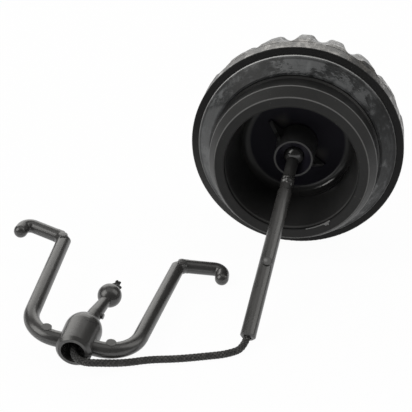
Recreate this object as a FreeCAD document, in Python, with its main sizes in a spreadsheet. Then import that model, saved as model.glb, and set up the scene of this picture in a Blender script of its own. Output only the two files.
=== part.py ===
import FreeCAD, Part
import math
import os
import Sketcher

# Tethered screw-neck fuel cap, lying on its side with its tether laid out in front of it.
# Millimetres. The cap's axis is Y, its opening faces -Y, Z is up.
# The origin is on the cap's axis, at the middle of the neck's plain wall.
# Depths are counted from the front face of the flange towards the opening.

sizes = {
    # flange and grip of the cap
    "band_radius": 25.2,
    "band_width": 4.5,
    "edge_round": 0.3,
    "lobe_rise": 0.04,
    "lobe_run": 2.0,
    "back_inset": 2.0,
    "back_round": 1.5,
    "grip_height": 17.0,
    "grip_wall": 4.8,
    "dish_depth": 9.0,
    "dish_round": 1.5,
    "dish_flare": 0.6,
    # flutes between the lobes
    "flute_count": 19,
    "front_depth": 0.15,
    "front_valley_radius": 7.5,
    "front_angle": 18.0,
    "back_depth": 2.1,
    "back_valley_radius": 1.9,
    "back_angle": 52.0,
    "shoulder_radius": 1.8,
    "exit_angle": 8.0,
    "cutter_reach": 1.0,
    # seat of the gasket
    "flange_rim": 1.35,
    "recess_depth": 1.2,
    "seat_width": 3.8,
    "root_height": 3.7,
    # neck and bore
    "root_step": 0.35,
    "wall_start": 4.2,
    "wall_length": 4.3,
    "nose_inset": 1.65,
    "nose_length": 3.0,
    "crest_round": 0.5,
    "nose_round": 0.4,
    "lip_width": 2.4,
    "mouth_depth": 2.0,
    "mouth_flare": 0.35,
    "bore_taper": 1.4,
    "floor_depth": 4.0,
    "floor_round": 2.2,
    # boss with the cup for the tether's ball
    "boss_radius": 4.55,
    "boss_taper": 0.4,
    "boss_height": 5.3,
    "ball_depth": 2.0,
    "cup_clearance": 0.2,
    "throat_radius": 2.4,
    "cup_mouth_radius": 4.1,
    "gusset_count": 2,
    "gusset_angle": 142.0,
    "gusset_thick": 0.9,
    "gusset_height": 3.2,
    "gusset_reach": 8.8,
    # gasket
    "gasket_clearance": 0.1,
    "gasket_edge_height": 1.7,
    "gasket_lip_height": 4.4,
    "gasket_lip_width": 0.5,
    "gasket_edge_round": 0.3,
    # stem of the tether
    "ball_radius": 2.65,
    "stem_neck_radius": 1.4,
    "stem_neck_length": 8.6,
    "stem_radius": 1.62,
    "stem_end_radius": 1.68,
    "stem_end_bevel": 0.35,
    "stem_length": 49.0,
    "stem_tilt_angle": 28.66,
    "stem_swing_angle": 10.5,
    "stem_pip_radius": 1.05,
    "stem_pip_rise": 0.3,
    "stem_pip_at": 31.2,
    "cord_hole_depth": 2.0,
    "cord_hole_clearance": 0.06,
    "cord_radius": 0.8,
    # anchor clip
    "barrel_radius": 3.75,
    "barrel_flare": 0.2,
    "barrel_length": 10.0,
    "barrel_bevel": 0.6,
    "dome_length": 3.0,
    "dome_inset": 1.2,
    "cavity_radius": 2.5,
    "cavity_depth": 7.3,
    "hole_clearance": 0.6,
    "arm_radius": 1.65,
    "hook_radius": 1.6,
    "arm_offset": 2.8,
    "bend_start": 4.5,
    "bend_radius": 7.2,
    "arm_lean_angle": 4.4,
    "arm_length": 28.3,
    "corner_cut": 1.3,
    "corner_stub": 0.9,
    "hook_angle": 13.5,
    "hook_length": 10.5,
    "hook_round": 1.9,
    "tip_turn_angle": 100.0,
    "tip_length": 3.5,
    "clip_pip_radius": 1.05,
    "clip_pip_rise": 0.08,
    "clip_pip_angle": 70.0,
    "clip_pip_inset": 0.5,
    # where the clip lies: its mouth, and its turn about the upright, the sideways and the barrel's axis
    "clip_side": 37.4,
    "clip_ahead": 53.3,
    "clip_height": 4.49,
    "clip_heading_angle": 0.3,
    "clip_pitch_angle": 1.6,
    "clip_roll_angle": 9.2,
    # moulded end of the cord, through the barrel
    "fitting_neck_radius": 1.6,
    "fitting_waist_radius": 1.25,
    "fitting_ball_radius": 2.65,
    "fitting_ball_at": 12.9,
    "fitting_tail": 3.6,
    "fitting_swing_angle": 7.7,
    "fitting_droop_angle": 2.7,
    "fitting_pip_radius": 0.6,
    "fitting_pip_rise": 0.35,
    "fitting_pip_at": 5.0,
    "tail_radius": 0.65,
    "tail_length": 2.4,
}

# The cord's route on the ground, from the stem to the clip's mouth: sideways, ahead, height above the ground
cord_route = [
    (-4.5, -40.3, 1.0),
    (-7.6, -43.3, 0.85),
    (-12.2, -45.0, 0.85),
    (-17.6, -46.9, 0.85),
    (-23.0, -48.2, 0.85),
    (-27.6, -51.4, 1.4),
    (-31.6, -53.4, 2.4),
    (-35.9, -55.3, 3.7),
]
arc_share = 0.45
last_run = 3.0
match_limit = 0.001

doc = FreeCAD.newDocument("fuel_cap")
sheet = doc.addObject("Spreadsheet::Sheet", "Sizes")
for row, (name, number) in enumerate(sizes.items(), start=1):
    sheet.set(f"A{row}", name)
    sheet.set(f"B{row}", str(number))
    sheet.setAlias(f"B{row}", name)
doc.recompute()


class Size:
    """A value together with the sheet expression that gives it."""

    def __init__(self, value, text):
        self.value = float(value)
        self.text = text

    def __add__(self, other):
        other = as_size(other)
        return Size(self.value + other.value, f"({self.text} + {other.text})")

    def __radd__(self, other):
        return as_size(other) + self

    def __sub__(self, other):
        other = as_size(other)
        return Size(self.value - other.value, f"({self.text} - {other.text})")

    def __rsub__(self, other):
        return as_size(other) - self

    def __mul__(self, other):
        other = as_size(other)
        return Size(self.value * other.value, f"({self.text} * {other.text})")

    def __rmul__(self, other):
        return as_size(other) * self

    def __truediv__(self, other):
        other = as_size(other)
        return Size(self.value / other.value, f"({self.text} / {other.text})")

    def __neg__(self):
        return Size(-self.value, f"(-1 * {self.text})")


def as_size(number):
    return number if isinstance(number, Size) else Size(number, repr(number))


def size(name):
    return Size(sheet.get(name), f"Sizes.{name}")


def sine(angle):
    return Size(math.sin(math.radians(angle.value)), f"sin({angle.text} * 1 deg)")


def cosine(angle):
    return Size(math.cos(math.radians(angle.value)), f"cos({angle.text} * 1 deg)")


def tangent(angle):
    return Size(math.tan(math.radians(angle.value)), f"tan({angle.text} * 1 deg)")


def root(number):
    return Size(math.sqrt(number.value), f"sqrt({number.text})")


def origin_feature(body, role):
    return next(item for item in body.Origin.OriginFeatures if item.Role == role)


def new_body(name):
    body = doc.addObject("PartDesign::Body", name)
    body.Label = name
    return body


def new_sketch(body, name, role, offset=None):
    sketch = body.newObject("Sketcher::SketchObject", name)
    sketch.AttachmentSupport = [(origin_feature(body, role), "")]
    sketch.MapMode = "FlatFace"
    if offset is not None:
        sketch.AttachmentOffset = FreeCAD.Placement(FreeCAD.Vector(0, 0, offset.value), FreeCAD.Rotation())
        sketch.setExpression("AttachmentOffset.Base.z", offset.text)
    return sketch


def bind(sketch, kind, places, value):
    """Adds a dimension to a sketch and ties it to the sheet."""
    index = sketch.addConstraint(Sketcher.Constraint(kind, *places, value.value))
    sketch.setExpression(f"Constraints[{index}]", value.text)


def trace(sketch, points, arcs=None, closed=True):
    """Draws lines through the points, with arcs where a centre is given for the edge that starts at a point.

    An arc's entry is its centre, its radius and True where the edge runs anticlockwise.
    Each point, and each arc's radius, is a dimension that is tied to the sheet.
    """
    arcs = arcs or {}
    count = len(points)
    spots = [FreeCAD.Vector(x.value, y.value, 0) for x, y in points]
    edges = []
    for index in range(count if closed else count - 1):
        first, last = spots[index], spots[(index + 1) % count]
        if index in arcs:
            middle_x, middle_y, radius, anticlockwise = arcs[index]
            middle = FreeCAD.Vector(middle_x.value, middle_y.value, 0)
            begin, end = (first, last) if anticlockwise else (last, first)
            start_angle = math.atan2(begin.y - middle.y, begin.x - middle.x)
            end_angle = math.atan2(end.y - middle.y, end.x - middle.x)
            circle = Part.Circle(middle, FreeCAD.Vector(0, 0, 1), radius.value)
            edge = sketch.addGeometry(Part.ArcOfCircle(circle, start_angle, end_angle), False)
            edges.append((edge, 1, 2) if anticlockwise else (edge, 2, 1))
        else:
            edge = sketch.addGeometry(Part.LineSegment(first, last), False)
            edges.append((edge, 1, 2))
    for index in range(len(edges) if closed else len(edges) - 1):
        edge, _, end = edges[index]
        following, start, _ = edges[(index + 1) % len(edges)]
        sketch.addConstraint(Sketcher.Constraint("Coincident", edge, end, following, start))
    for index, (x, y) in enumerate(points):
        edge, start, end = edges[min(index, len(edges) - 1)]
        place = start if index < len(edges) else end
        bind(sketch, "DistanceX", (edge, place), x)
        bind(sketch, "DistanceY", (edge, place), y)
    for index, arc in arcs.items():
        bind(sketch, "Radius", (edges[index][0],), arc[2])
    return sketch


def disc(sketch, x, y, radius):
    """Draws a circle, with its place and radius tied to the sheet."""
    centre = FreeCAD.Vector(x.value, y.value, 0)
    edge = sketch.addGeometry(Part.Circle(centre, FreeCAD.Vector(0, 0, 1), radius.value), False)
    bind(sketch, "DistanceX", (edge, 3), x)
    bind(sketch, "DistanceY", (edge, 3), y)
    bind(sketch, "Radius", (edge,), radius)
    return sketch


def revolve(body, name, sketch, kind="PartDesign::Revolution"):
    """Turns a sketch about its upright axis."""
    feature = body.newObject(kind, name)
    feature.Profile = sketch
    feature.ReferenceAxis = (sketch, ["V_Axis"])
    feature.Angle = 360
    return feature


def pad(body, name, sketch, length):
    feature = body.newObject("PartDesign::Pad", name)
    feature.Profile = sketch
    feature.Length = length.value
    feature.setExpression("Length", length.text)
    return feature


def polar(body, name, feature, count):
    """Repeats a feature evenly about the body's Y axis."""
    pattern = body.newObject("PartDesign::PolarPattern", name)
    pattern.Originals = [feature]
    pattern.Axis = (origin_feature(body, "Y_Axis"), [""])
    pattern.Angle = 360
    pattern.Occurrences = int(count.value)
    pattern.setExpression("Occurrences", count.text)
    body.Tip = pattern
    return pattern


def sweep(body, name, profile, line, edges):
    """Carries a profile along the edges of a sketched line, with mitred corners."""
    feature = body.newObject("PartDesign::AdditivePipe", name)
    feature.Profile = profile
    feature.Spine = (line, [f"Edge{index}" for index in range(1, edges + 1)])
    feature.Transition = "Right corner"
    doc.recompute()
    return feature


def round_circles(body, name, base, circles, radius):
    """Rounds the circular edges with the given radii and heights along Y."""
    doc.recompute()
    names = []
    for index, edge in enumerate(base.Shape.Edges, start=1):
        if edge.Degenerated or not isinstance(edge.Curve, Part.Circle):
            continue
        for wanted_radius, wanted_height in circles:
            same_radius = abs(edge.Curve.Radius - wanted_radius.value) < match_limit
            same_height = abs(edge.Curve.Center.y - wanted_height.value) < match_limit
            if same_radius and same_height:
                names.append(f"Edge{index}")
    fillet = body.newObject("PartDesign::Fillet", name)
    fillet.Base = (base, names)
    fillet.Radius = radius.value
    fillet.setExpression("Radius", radius.text)
    body.Tip = fillet
    return fillet


# The cap's radii, each from the one outside it
lobe_radius = size("band_radius") + size("lobe_rise")
back_radius = lobe_radius - size("back_inset")
dish_radius = back_radius - size("grip_wall")
recess_radius = size("band_radius") - size("edge_round") - size("flange_rim")
root_radius = recess_radius - size("seat_width")
neck_radius = root_radius - size("root_step")
nose_radius = neck_radius - size("nose_inset")
mouth_radius = nose_radius - size("lip_width")
bore_radius = mouth_radius - size("mouth_flare")

# Shared places along the cap's axis
face = size("wall_start") + size("wall_length") / 2
ground = -size("band_radius")
ball_place = face - size("ball_depth")
crest_depth = size("wall_start") + size("wall_length")
neck_end = face - crest_depth - size("nose_length")
band_back = face + size("band_width")
cap_back = face + size("grip_height")
bore_floor = face + size("floor_depth")
zero = as_size(0.0)


def make_cap_body():
    """One moulding: fluted grip, flange, neck, bore with its boss, and the gussets of the boss."""
    body = new_body("cap_body")
    recess_floor = face + size("recess_depth")
    dish_floor = cap_back - size("dish_depth")
    floor_radius = bore_radius - size("bore_taper")
    cup_radius = size("ball_radius") + size("cup_clearance")
    throat = ball_place - root(cup_radius * cup_radius - size("throat_radius") * size("throat_radius"))
    boss_tip = face - size("boss_height")
    points = [
        (zero, dish_floor),
        (dish_radius - size("dish_round"), dish_floor),
        (dish_radius, dish_floor + size("dish_round")),
        (dish_radius + size("dish_flare"), cap_back),
        (back_radius - size("back_round"), cap_back),
        (back_radius, cap_back - size("back_round")),
        (lobe_radius, band_back + size("lobe_run")),
        (lobe_radius, band_back),
        (size("band_radius"), band_back),
        (size("band_radius"), face + size("edge_round")),
        (size("band_radius") - size("edge_round"), face),
        (recess_radius, face),
        (recess_radius, recess_floor),
        (root_radius, recess_floor),
        (root_radius, face - size("root_height")),
        (neck_radius, face - size("wall_start")),
        (neck_radius, face - crest_depth),
        (nose_radius, neck_end),
        (mouth_radius, neck_end),
        (bore_radius, neck_end + size("mouth_depth")),
        (floor_radius, bore_floor - size("floor_round")),
        (floor_radius - size("floor_round"), bore_floor),
        (size("boss_radius") + size("boss_taper"), bore_floor),
        (size("boss_radius"), boss_tip),
        (size("cup_mouth_radius"), boss_tip),
        (size("throat_radius"), throat),
        (zero, ball_place + cup_radius),
    ]
    arcs = {
        1: (dish_radius - size("dish_round"), dish_floor + size("dish_round"), size("dish_round"), True),
        4: (back_radius - size("back_round"), cap_back - size("back_round"), size("back_round"), False),
        9: (size("band_radius") - size("edge_round"), face + size("edge_round"), size("edge_round"), False),
        20: (floor_radius - size("floor_round"), bore_floor - size("floor_round"), size("floor_round"), True),
        25: (zero, ball_place, cup_radius, True),
    }
    section = trace(new_sketch(body, "cap_section", "XY_Plane"), points, arcs)
    turned = revolve(body, "cap_turned", section)
    crest_circle = (neck_radius, face - crest_depth)
    crest = round_circles(body, "crest_edge", turned, [crest_circle], size("crest_round"))
    round_circles(body, "nose_edge", crest, [(nose_radius, neck_end)], size("nose_round"))
    doc.recompute()

    # gussets between the boss and the bore's floor
    inner = (cup_radius + size("boss_radius")) / 2
    sunk = bore_floor + size("gusset_thick") / 2
    triangle = [
        (inner, sunk),
        (size("gusset_reach"), sunk),
        (size("gusset_reach"), bore_floor),
        (inner, face - size("gusset_height")),
    ]
    gusset_sketch = trace(new_sketch(body, "gusset_outline", "XY_Plane"), triangle)
    turned_down = FreeCAD.Rotation(FreeCAD.Vector(0, -1, 0), size("gusset_angle").value)
    gusset_sketch.AttachmentOffset = FreeCAD.Placement(FreeCAD.Vector(0, 0, 0), turned_down)
    gusset_sketch.setExpression("AttachmentOffset.Rotation.Angle", size("gusset_angle").text)
    gusset = pad(body, "gusset", gusset_sketch, size("gusset_thick"))
    gusset.SideType = "Symmetric"
    gussets = polar(body, "gussets", gusset, size("gusset_count"))
    doc.recompute()
    whole = gussets.Shape.Volume

    # flutes of the grip, one of them facing the ground
    front = flute_section(body, "flute_front", band_back, lobe_radius - size("front_depth"),
                          size("front_valley_radius"), size("front_angle"))
    past_back = cap_back + size("cutter_reach")
    back = flute_section(body, "flute_back", past_back, back_radius - size("back_depth"),
                         size("back_valley_radius"), size("back_angle"))
    flute = body.newObject("PartDesign::SubtractiveLoft", "flute")
    flute.Profile = front
    flute.Sections = [back]
    flute.Ruled = True
    flutes = polar(body, "flutes", flute, size("flute_count"))
    doc.recompute()
    print("cap volume before and after the flutes:", round(whole), round(flutes.Shape.Volume))

    return body


def flute_section(body, name, height, valley, valley_radius, angle):
    """Outline of the cutter at one height: a hollow valley between two rounded shoulders."""
    slope = size("exit_angle")
    x_valley = valley_radius * sine(angle)
    r_valley = valley + valley_radius * (1 - cosine(angle))
    x_shoulder = x_valley + size("shoulder_radius") * (sine(angle) - sine(slope))
    r_shoulder = r_valley + size("shoulder_radius") * (cosine(slope) - cosine(angle))
    x_edge = x_shoulder + size("cutter_reach") * cosine(slope)
    r_edge = r_shoulder + size("cutter_reach") * sine(slope)
    r_outer = r_edge + size("cutter_reach")
    x_centre = x_shoulder + size("shoulder_radius") * sine(slope)
    r_centre = r_shoulder - size("shoulder_radius") * cosine(slope)
    right = [(x_valley, r_valley), (x_shoulder, r_shoulder), (x_edge, r_edge), (x_edge, r_outer)]
    points = [(x, -r) for x, r in right] + [(-x, -r) for x, r in reversed(right)]
    arcs = {
        0: (x_centre, -r_centre, size("shoulder_radius"), True),
        6: (-x_centre, -r_centre, size("shoulder_radius"), True),
        7: (zero, -(valley + valley_radius), valley_radius, False),
    }
    return trace(new_sketch(body, name, "XZ_Plane", -height), points, arcs)


def make_sealing_gasket():
    """Soft ring in the flange's recess, with a face that rises to a lip around the neck."""
    body = new_body("sealing_gasket")
    seat = face + size("recess_depth")
    inner = root_radius + size("gasket_clearance")
    outer = recess_radius - size("gasket_clearance")
    edge = seat - size("gasket_edge_height")
    lip = seat - size("gasket_lip_height")
    points = [
        (inner, seat),
        (outer, seat),
        (outer, edge + size("gasket_edge_round")),
        (outer - size("gasket_edge_round"), edge),
        (inner + size("gasket_lip_width"), lip),
        (inner, lip),
    ]
    revolve(body, "gasket_ring", trace(new_sketch(body, "gasket_section", "XY_Plane"), points))
    return body


def make_tether_stem():
    """Rod with a ball at one end, a gate pip on its side and a hole for the cord at the other end."""
    body = new_body("tether_stem")
    neck = size("stem_neck_radius")
    hole = size("cord_radius") + size("cord_hole_clearance")
    end = -size("stem_length")
    shoulder = -(size("stem_neck_length") + size("ball_radius"))
    meet = -root(size("ball_radius") * size("ball_radius") - neck * neck)
    points = [
        (zero, size("ball_radius")),
        (neck, meet),
        (neck, shoulder),
        (size("stem_radius"), shoulder - (size("stem_radius") - neck)),
        (size("stem_end_radius"), end + size("stem_end_bevel")),
        (size("stem_end_radius") - size("stem_end_bevel"), end),
        (hole, end),
        (hole, end + size("cord_hole_depth")),
        (zero, end + size("cord_hole_depth")),
    ]
    arcs = {0: (zero, zero, size("ball_radius"), False)}
    revolve(body, "stem_rod", trace(new_sketch(body, "stem_section", "XY_Plane"), points, arcs))
    pip_sketch = new_sketch(body, "stem_pip_outline", "XY_Plane")
    disc(pip_sketch, zero, -size("stem_pip_at"), size("stem_pip_radius"))
    pad(body, "stem_pip", pip_sketch, size("stem_end_radius") + size("stem_pip_rise"))
    swing = FreeCAD.Rotation(FreeCAD.Vector(0, 1, 0), size("stem_swing_angle").value)
    tilt = FreeCAD.Rotation(FreeCAD.Vector(1, 0, 0), size("stem_tilt_angle").value)
    body.Placement = FreeCAD.Placement(FreeCAD.Vector(0, ball_place.value, 0), swing.multiply(tilt))
    return body


def clip_placement():
    """Where the clip lies: its mouth's centre, its barrel's axis and its roll about that axis."""
    heading = FreeCAD.Rotation(FreeCAD.Vector(0, 0, 1), size("clip_heading_angle").value)
    pitch = FreeCAD.Rotation(FreeCAD.Vector(1, 0, 0), size("clip_pitch_angle").value)
    roll = FreeCAD.Rotation(FreeCAD.Vector(0, 1, 0), size("clip_roll_angle").value)
    height = ground + size("clip_height")
    mouth = FreeCAD.Vector(-size("clip_side").value, -size("clip_ahead").value, height.value)
    return FreeCAD.Placement(mouth, heading.multiply(pitch).multiply(roll))


def hole_place():
    """Middle of the barrel's end wall, along its axis."""
    return (size("cavity_depth") + size("barrel_length")) / 2


def make_anchor_clip():
    """One moulding: a barrel with a domed end, and two round arms with hooked ends."""
    body = new_body("anchor_clip")
    barrel = size("barrel_radius")
    dome_start = size("barrel_length") - size("dome_length")
    wide = barrel + size("barrel_flare")
    dome_radius = wide - size("dome_inset")
    hole = size("fitting_neck_radius") + size("hole_clearance")
    rise = size("dome_length")
    inset = size("dome_inset")
    curve = (rise * rise + inset * inset) / (2 * inset)
    points = [
        (zero, zero),
        (barrel - size("barrel_bevel"), zero),
        (barrel, size("barrel_bevel")),
        (wide, dome_start),
        (dome_radius, size("barrel_length")),
        (zero, size("barrel_length")),
    ]
    arcs = {3: (wide - curve, dome_start, curve, True)}
    revolve(body, "barrel", trace(new_sketch(body, "barrel_section", "XY_Plane"), points, arcs))

    # the arm's centre line: out of the barrel, round the bend, up the arm, along the hook and back at the tip
    lean = size("arm_lean_angle")
    bend = size("bend_radius")
    middle = (size("bend_start"), size("arm_offset") + bend)
    arm_foot = (middle[0] + bend * cosine(lean), middle[1] - bend * sine(lean))
    corner = (arm_foot[0] + size("arm_length") * sine(lean), arm_foot[1] + size("arm_length") * cosine(lean))
    hook = size("hook_angle")
    down = size("tip_turn_angle") - hook
    cut = size("hook_round") * tangent(size("tip_turn_angle") / 2)
    reach = size("hook_length") - cut
    hook_end = (corner[0] + reach * cosine(hook), corner[1] + reach * sine(hook))
    fold = (hook_end[0] + cut * cosine(hook), hook_end[1] + cut * sine(hook))
    tip_start = (fold[0] + cut * cosine(down), fold[1] - cut * sine(down))
    tip = (fold[0] + size("tip_length") * cosine(down), fold[1] - size("tip_length") * sine(down))
    turn_x = hook_end[0] + size("hook_round") * sine(hook)
    turn_y = hook_end[1] - size("hook_round") * cosine(hook)
    miss = size("corner_cut")
    arm_end = (corner[0] - miss * sine(lean), corner[1] - miss * cosine(lean))
    hook_start = (corner[0] + miss * cosine(hook), corner[1] + miss * sine(hook))
    past = miss + size("corner_stub")
    stub_end = (corner[0] + past * cosine(hook), corner[1] + past * sine(hook))
    arm_points = [(zero, size("arm_offset")), (size("bend_start"), size("arm_offset")), arm_foot, arm_end,
                  hook_start, stub_end]
    arm_bends = {1: (middle[0], middle[1], bend, True)}
    arm_line = trace(new_sketch(body, "arm_line", "XY_Plane"), arm_points, arm_bends, closed=False)
    arm_profile = new_sketch(body, "arm_profile", "YZ_Plane")
    disc(arm_profile, size("arm_offset"), zero, size("arm_radius"))
    arm = sweep(body, "arm", arm_profile, arm_line, len(arm_points) - 1)
    hook_points = [hook_start, hook_end, tip_start, tip]
    hook_bends = {1: (turn_x, turn_y, size("hook_round"), False)}
    hook_line = trace(new_sketch(body, "hook_line", "XY_Plane"), hook_points, hook_bends, closed=False)
    doc.recompute()
    hook_profile = body.newObject("Sketcher::SketchObject", "hook_profile")
    hook_profile.AttachmentSupport = [(hook_line, "Edge1")]
    hook_profile.MapMode = "NormalToEdge"
    disc(hook_profile, zero, zero, size("hook_radius"))
    hook_rod = sweep(body, "hook", hook_profile, hook_line, len(hook_points) - 1)
    tip_ball = body.newObject("PartDesign::AdditiveSphere", "hook_tip")
    tip_ball.Radius = size("hook_radius").value
    tip_ball.setExpression("Radius", size("hook_radius").text)
    tip_ball.Placement = FreeCAD.Placement(FreeCAD.Vector(tip[0].value, tip[1].value, 0), FreeCAD.Rotation())
    tip_ball.setExpression("Placement.Base.x", tip[0].text)
    tip_ball.setExpression("Placement.Base.y", tip[1].text)
    pip_arc = bend - size("clip_pip_inset")
    pip_sketch = new_sketch(body, "arm_pip_outline", "XY_Plane")
    pip_x = middle[0] + pip_arc * cosine(size("clip_pip_angle"))
    pip_y = middle[1] - pip_arc * sine(size("clip_pip_angle"))
    disc(pip_sketch, pip_x, pip_y, size("clip_pip_radius"))
    pip = pad(body, "arm_pip", pip_sketch, size("arm_radius") + size("clip_pip_rise"))
    other = body.newObject("PartDesign::Mirrored", "other_arm")
    other.Originals = [arm, hook_rod, tip_ball, pip]
    other.MirrorPlane = (origin_feature(body, "YZ_Plane"), [""])
    body.Tip = other
    doc.recompute()

    # hollow of the barrel, and the hole in its domed end
    hollow = [
        (zero, zero - size("barrel_bevel")),
        (size("cavity_radius"), zero - size("barrel_bevel")),
        (size("cavity_radius"), size("cavity_depth")),
        (hole, size("cavity_depth")),
        (hole, size("barrel_length") + size("barrel_bevel")),
        (zero, size("barrel_length") + size("barrel_bevel")),
    ]
    before = other.Shape.Volume
    groove = revolve(body, "barrel_hollow", trace(new_sketch(body, "hollow_section", "XY_Plane"), hollow),
                     "PartDesign::Groove")
    doc.recompute()
    print("clip volume before and after the hollow:", round(before), round(groove.Shape.Volume))
    body.Placement = clip_placement()
    return body


def fitting_placement():
    """The moulded cord end leans in the barrel's hole: sideways, and down towards the ground."""
    swing = FreeCAD.Rotation(FreeCAD.Vector(0, 0, 1), -size("fitting_swing_angle").value)
    droop = FreeCAD.Rotation(FreeCAD.Vector(1, 0, 0), -size("fitting_droop_angle").value)
    inside = FreeCAD.Placement(FreeCAD.Vector(0, hole_place().value, 0), swing.multiply(droop))
    return clip_placement().multiply(inside)


def make_cord_end_fitting():
    """Necked bead moulded on the end of the cord: it passes through the barrel and stops it with its ball."""
    body = new_body("cord_end_fitting")
    ball = size("fitting_ball_radius")
    waist = size("fitting_waist_radius")
    ball_at = size("fitting_ball_at")
    meet = ball_at - root(ball * ball - waist * waist)
    flat = ball_at + root(ball * ball - size("tail_radius") * size("tail_radius"))
    points = [
        (zero, -size("fitting_tail")),
        (size("fitting_neck_radius"), -size("fitting_tail")),
        (size("fitting_neck_radius"), size("fitting_pip_at")),
        (waist, meet),
        (size("tail_radius"), flat),
        (zero, flat),
    ]
    arcs = {3: (zero, ball_at, ball, True)}
    revolve(body, "fitting_turned", trace(new_sketch(body, "fitting_section", "XY_Plane"), points, arcs))
    pip_sketch = new_sketch(body, "fitting_pip_outline", "YZ_Plane")
    disc(pip_sketch, size("fitting_pip_at"), zero, size("fitting_pip_radius"))
    pad(body, "fitting_pip", pip_sketch, size("fitting_neck_radius") + size("fitting_pip_rise"))
    body.Placement = fitting_placement()
    return body


def rounded_path(points):
    """Straight runs joined by tangent arcs, each as large as its two runs allow."""
    edges = []
    radii = []
    here = points[0]
    for before, corner, after in zip(points, points[1:], points[2:]):
        back = before - corner
        ahead = after - corner
        shorter = min(back.Length, ahead.Length)
        turn = math.pi - back.getAngle(ahead)
        reach = arc_share * shorter
        radii.append(reach / math.tan(turn / 2))
        back.normalize()
        ahead.normalize()
        start = corner + back * reach
        end = corner + ahead * reach
        inward = back + ahead
        inward.normalize()
        depth = radii[-1] / math.cos(turn / 2) - radii[-1]
        edges.append(Part.LineSegment(here, start).toShape())
        edges.append(Part.Arc(start, corner + inward * depth, end).toShape())
        here = end
    edges.append(Part.LineSegment(here, points[-1]).toShape())
    return Part.Wire(edges), radii


def make_tether_cord(stem, fitting):
    """Braided cord: a tube from the stem's hole to the moulded end, and the short tail beyond the ball."""
    radius = size("cord_radius").value
    hole_bottom = size("stem_length") - size("cord_hole_depth")
    start = stem.Placement.multVec(FreeCAD.Vector(0, -hole_bottom.value, 0))
    end = fitting.Placement.multVec(FreeCAD.Vector(0, -size("fitting_tail").value, 0))
    before_end = fitting.Placement.multVec(FreeCAD.Vector(0, -size("fitting_tail").value - last_run, 0))
    exit_line = stem.Placement.Rotation.multVec(FreeCAD.Vector(0, -1, 0))
    route = [FreeCAD.Vector(x, y, ground.value + height) for x, y, height in cord_route]
    # the first bend lies on the stem's own line, at the height that the route gives
    route[0] = start + exit_line * ((route[0].z - start.z) / exit_line.z)
    path, radii = rounded_path([start] + route + [before_end, end])
    first = FreeCAD.Vector(route[0] - start)
    ring = Part.Wire([Part.Circle(start, first, radius).toShape()])
    tube = path.makePipeShell([ring], True, True)
    expected = math.pi * radius**2 * path.Length
    print("cord radii:", [round(value, 1) for value in radii], "length:", round(path.Length, 1))
    print("cord volume and section times length:", round(tube.Volume, 2), round(expected, 2))

    ball = size("fitting_ball_radius")
    flat = size("fitting_ball_at") + root(ball * ball - size("tail_radius") * size("tail_radius"))
    tail_foot = fitting.Placement.multVec(FreeCAD.Vector(0, flat.value, 0))
    tail_line = fitting.Placement.Rotation.multVec(FreeCAD.Vector(0, 1, 0))
    tail = Part.makeCylinder(size("tail_radius").value, size("tail_length").value, tail_foot, tail_line)
    cord = doc.addObject("Part::Feature", "tether_cord")
    cord.Label = "tether_cord"
    cord.Shape = Part.makeCompound([tube, tail])
    return cord


cap_body = make_cap_body()
sealing_gasket = make_sealing_gasket()
tether_stem = make_tether_stem()
anchor_clip = make_anchor_clip()
cord_end_fitting = make_cord_end_fitting()
doc.recompute()
tether_cord = make_tether_cord(tether_stem, cord_end_fitting)
doc.recompute()

pieces = [cap_body, sealing_gasket, tether_stem, tether_cord, cord_end_fitting, anchor_clip]
for item in doc.Objects:
    if "Invalid" in item.State or "Error" in item.State:
        raise RuntimeError(f"{item.Name} failed: {item.State}")
for piece in pieces:
    if piece.Shape.isNull() or not piece.Shape.isValid():
        raise RuntimeError(f"{piece.Label} has no valid shape")
    box = piece.Shape.optimalBoundingBox(False)
    print(piece.Label, "solids", len(piece.Shape.Solids), "volume", round(piece.Shape.Volume, 1),
          "lowest", round(box.ZMin - ground.value, 2))

os.makedirs("parts", exist_ok=True)
for piece in pieces:
    piece.Shape.exportStep(f"parts/{piece.Label}.step")
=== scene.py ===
import math

import bpy
import numpy as np
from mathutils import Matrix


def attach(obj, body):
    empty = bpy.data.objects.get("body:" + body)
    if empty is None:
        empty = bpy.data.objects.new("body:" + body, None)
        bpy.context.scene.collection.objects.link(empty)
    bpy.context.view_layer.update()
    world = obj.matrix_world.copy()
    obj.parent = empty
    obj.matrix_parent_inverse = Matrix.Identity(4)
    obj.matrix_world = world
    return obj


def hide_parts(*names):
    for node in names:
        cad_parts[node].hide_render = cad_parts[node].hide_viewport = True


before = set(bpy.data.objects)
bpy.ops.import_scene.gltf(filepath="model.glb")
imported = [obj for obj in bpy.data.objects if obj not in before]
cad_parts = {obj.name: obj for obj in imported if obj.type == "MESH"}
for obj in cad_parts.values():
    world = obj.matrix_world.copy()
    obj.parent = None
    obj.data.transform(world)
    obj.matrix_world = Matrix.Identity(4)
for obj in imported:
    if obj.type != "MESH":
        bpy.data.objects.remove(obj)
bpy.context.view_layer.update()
scene = bpy.context.scene
scene.view_settings.view_transform = "Standard"
print("frame loaded:", sorted(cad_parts))

cameraSettings = {
    "place": (0.01704, -0.19665, 0.0934),
    "lens": 81.87,
    "sensor": 36.0,
    "turnDegrees": 10.8,
    "dipDegrees": 28.2,
    "nearest": 0.01,
}


def makeCamera(settings):
    data = bpy.data.cameras.new("photoCamera")
    data.lens = settings["lens"]
    data.sensor_fit = "HORIZONTAL"
    data.sensor_width = settings["sensor"]
    data.clip_start = settings["nearest"]
    camera = bpy.data.objects.new("photoCamera", data)
    camera.location = settings["place"]
    tilt = math.radians(90 - settings["dipDegrees"])
    camera.rotation_euler = (tilt, 0, math.radians(settings["turnDegrees"]))
    scene.collection.objects.link(camera)
    scene.camera = camera


makeCamera(cameraSettings)
print("camera placed")


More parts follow.
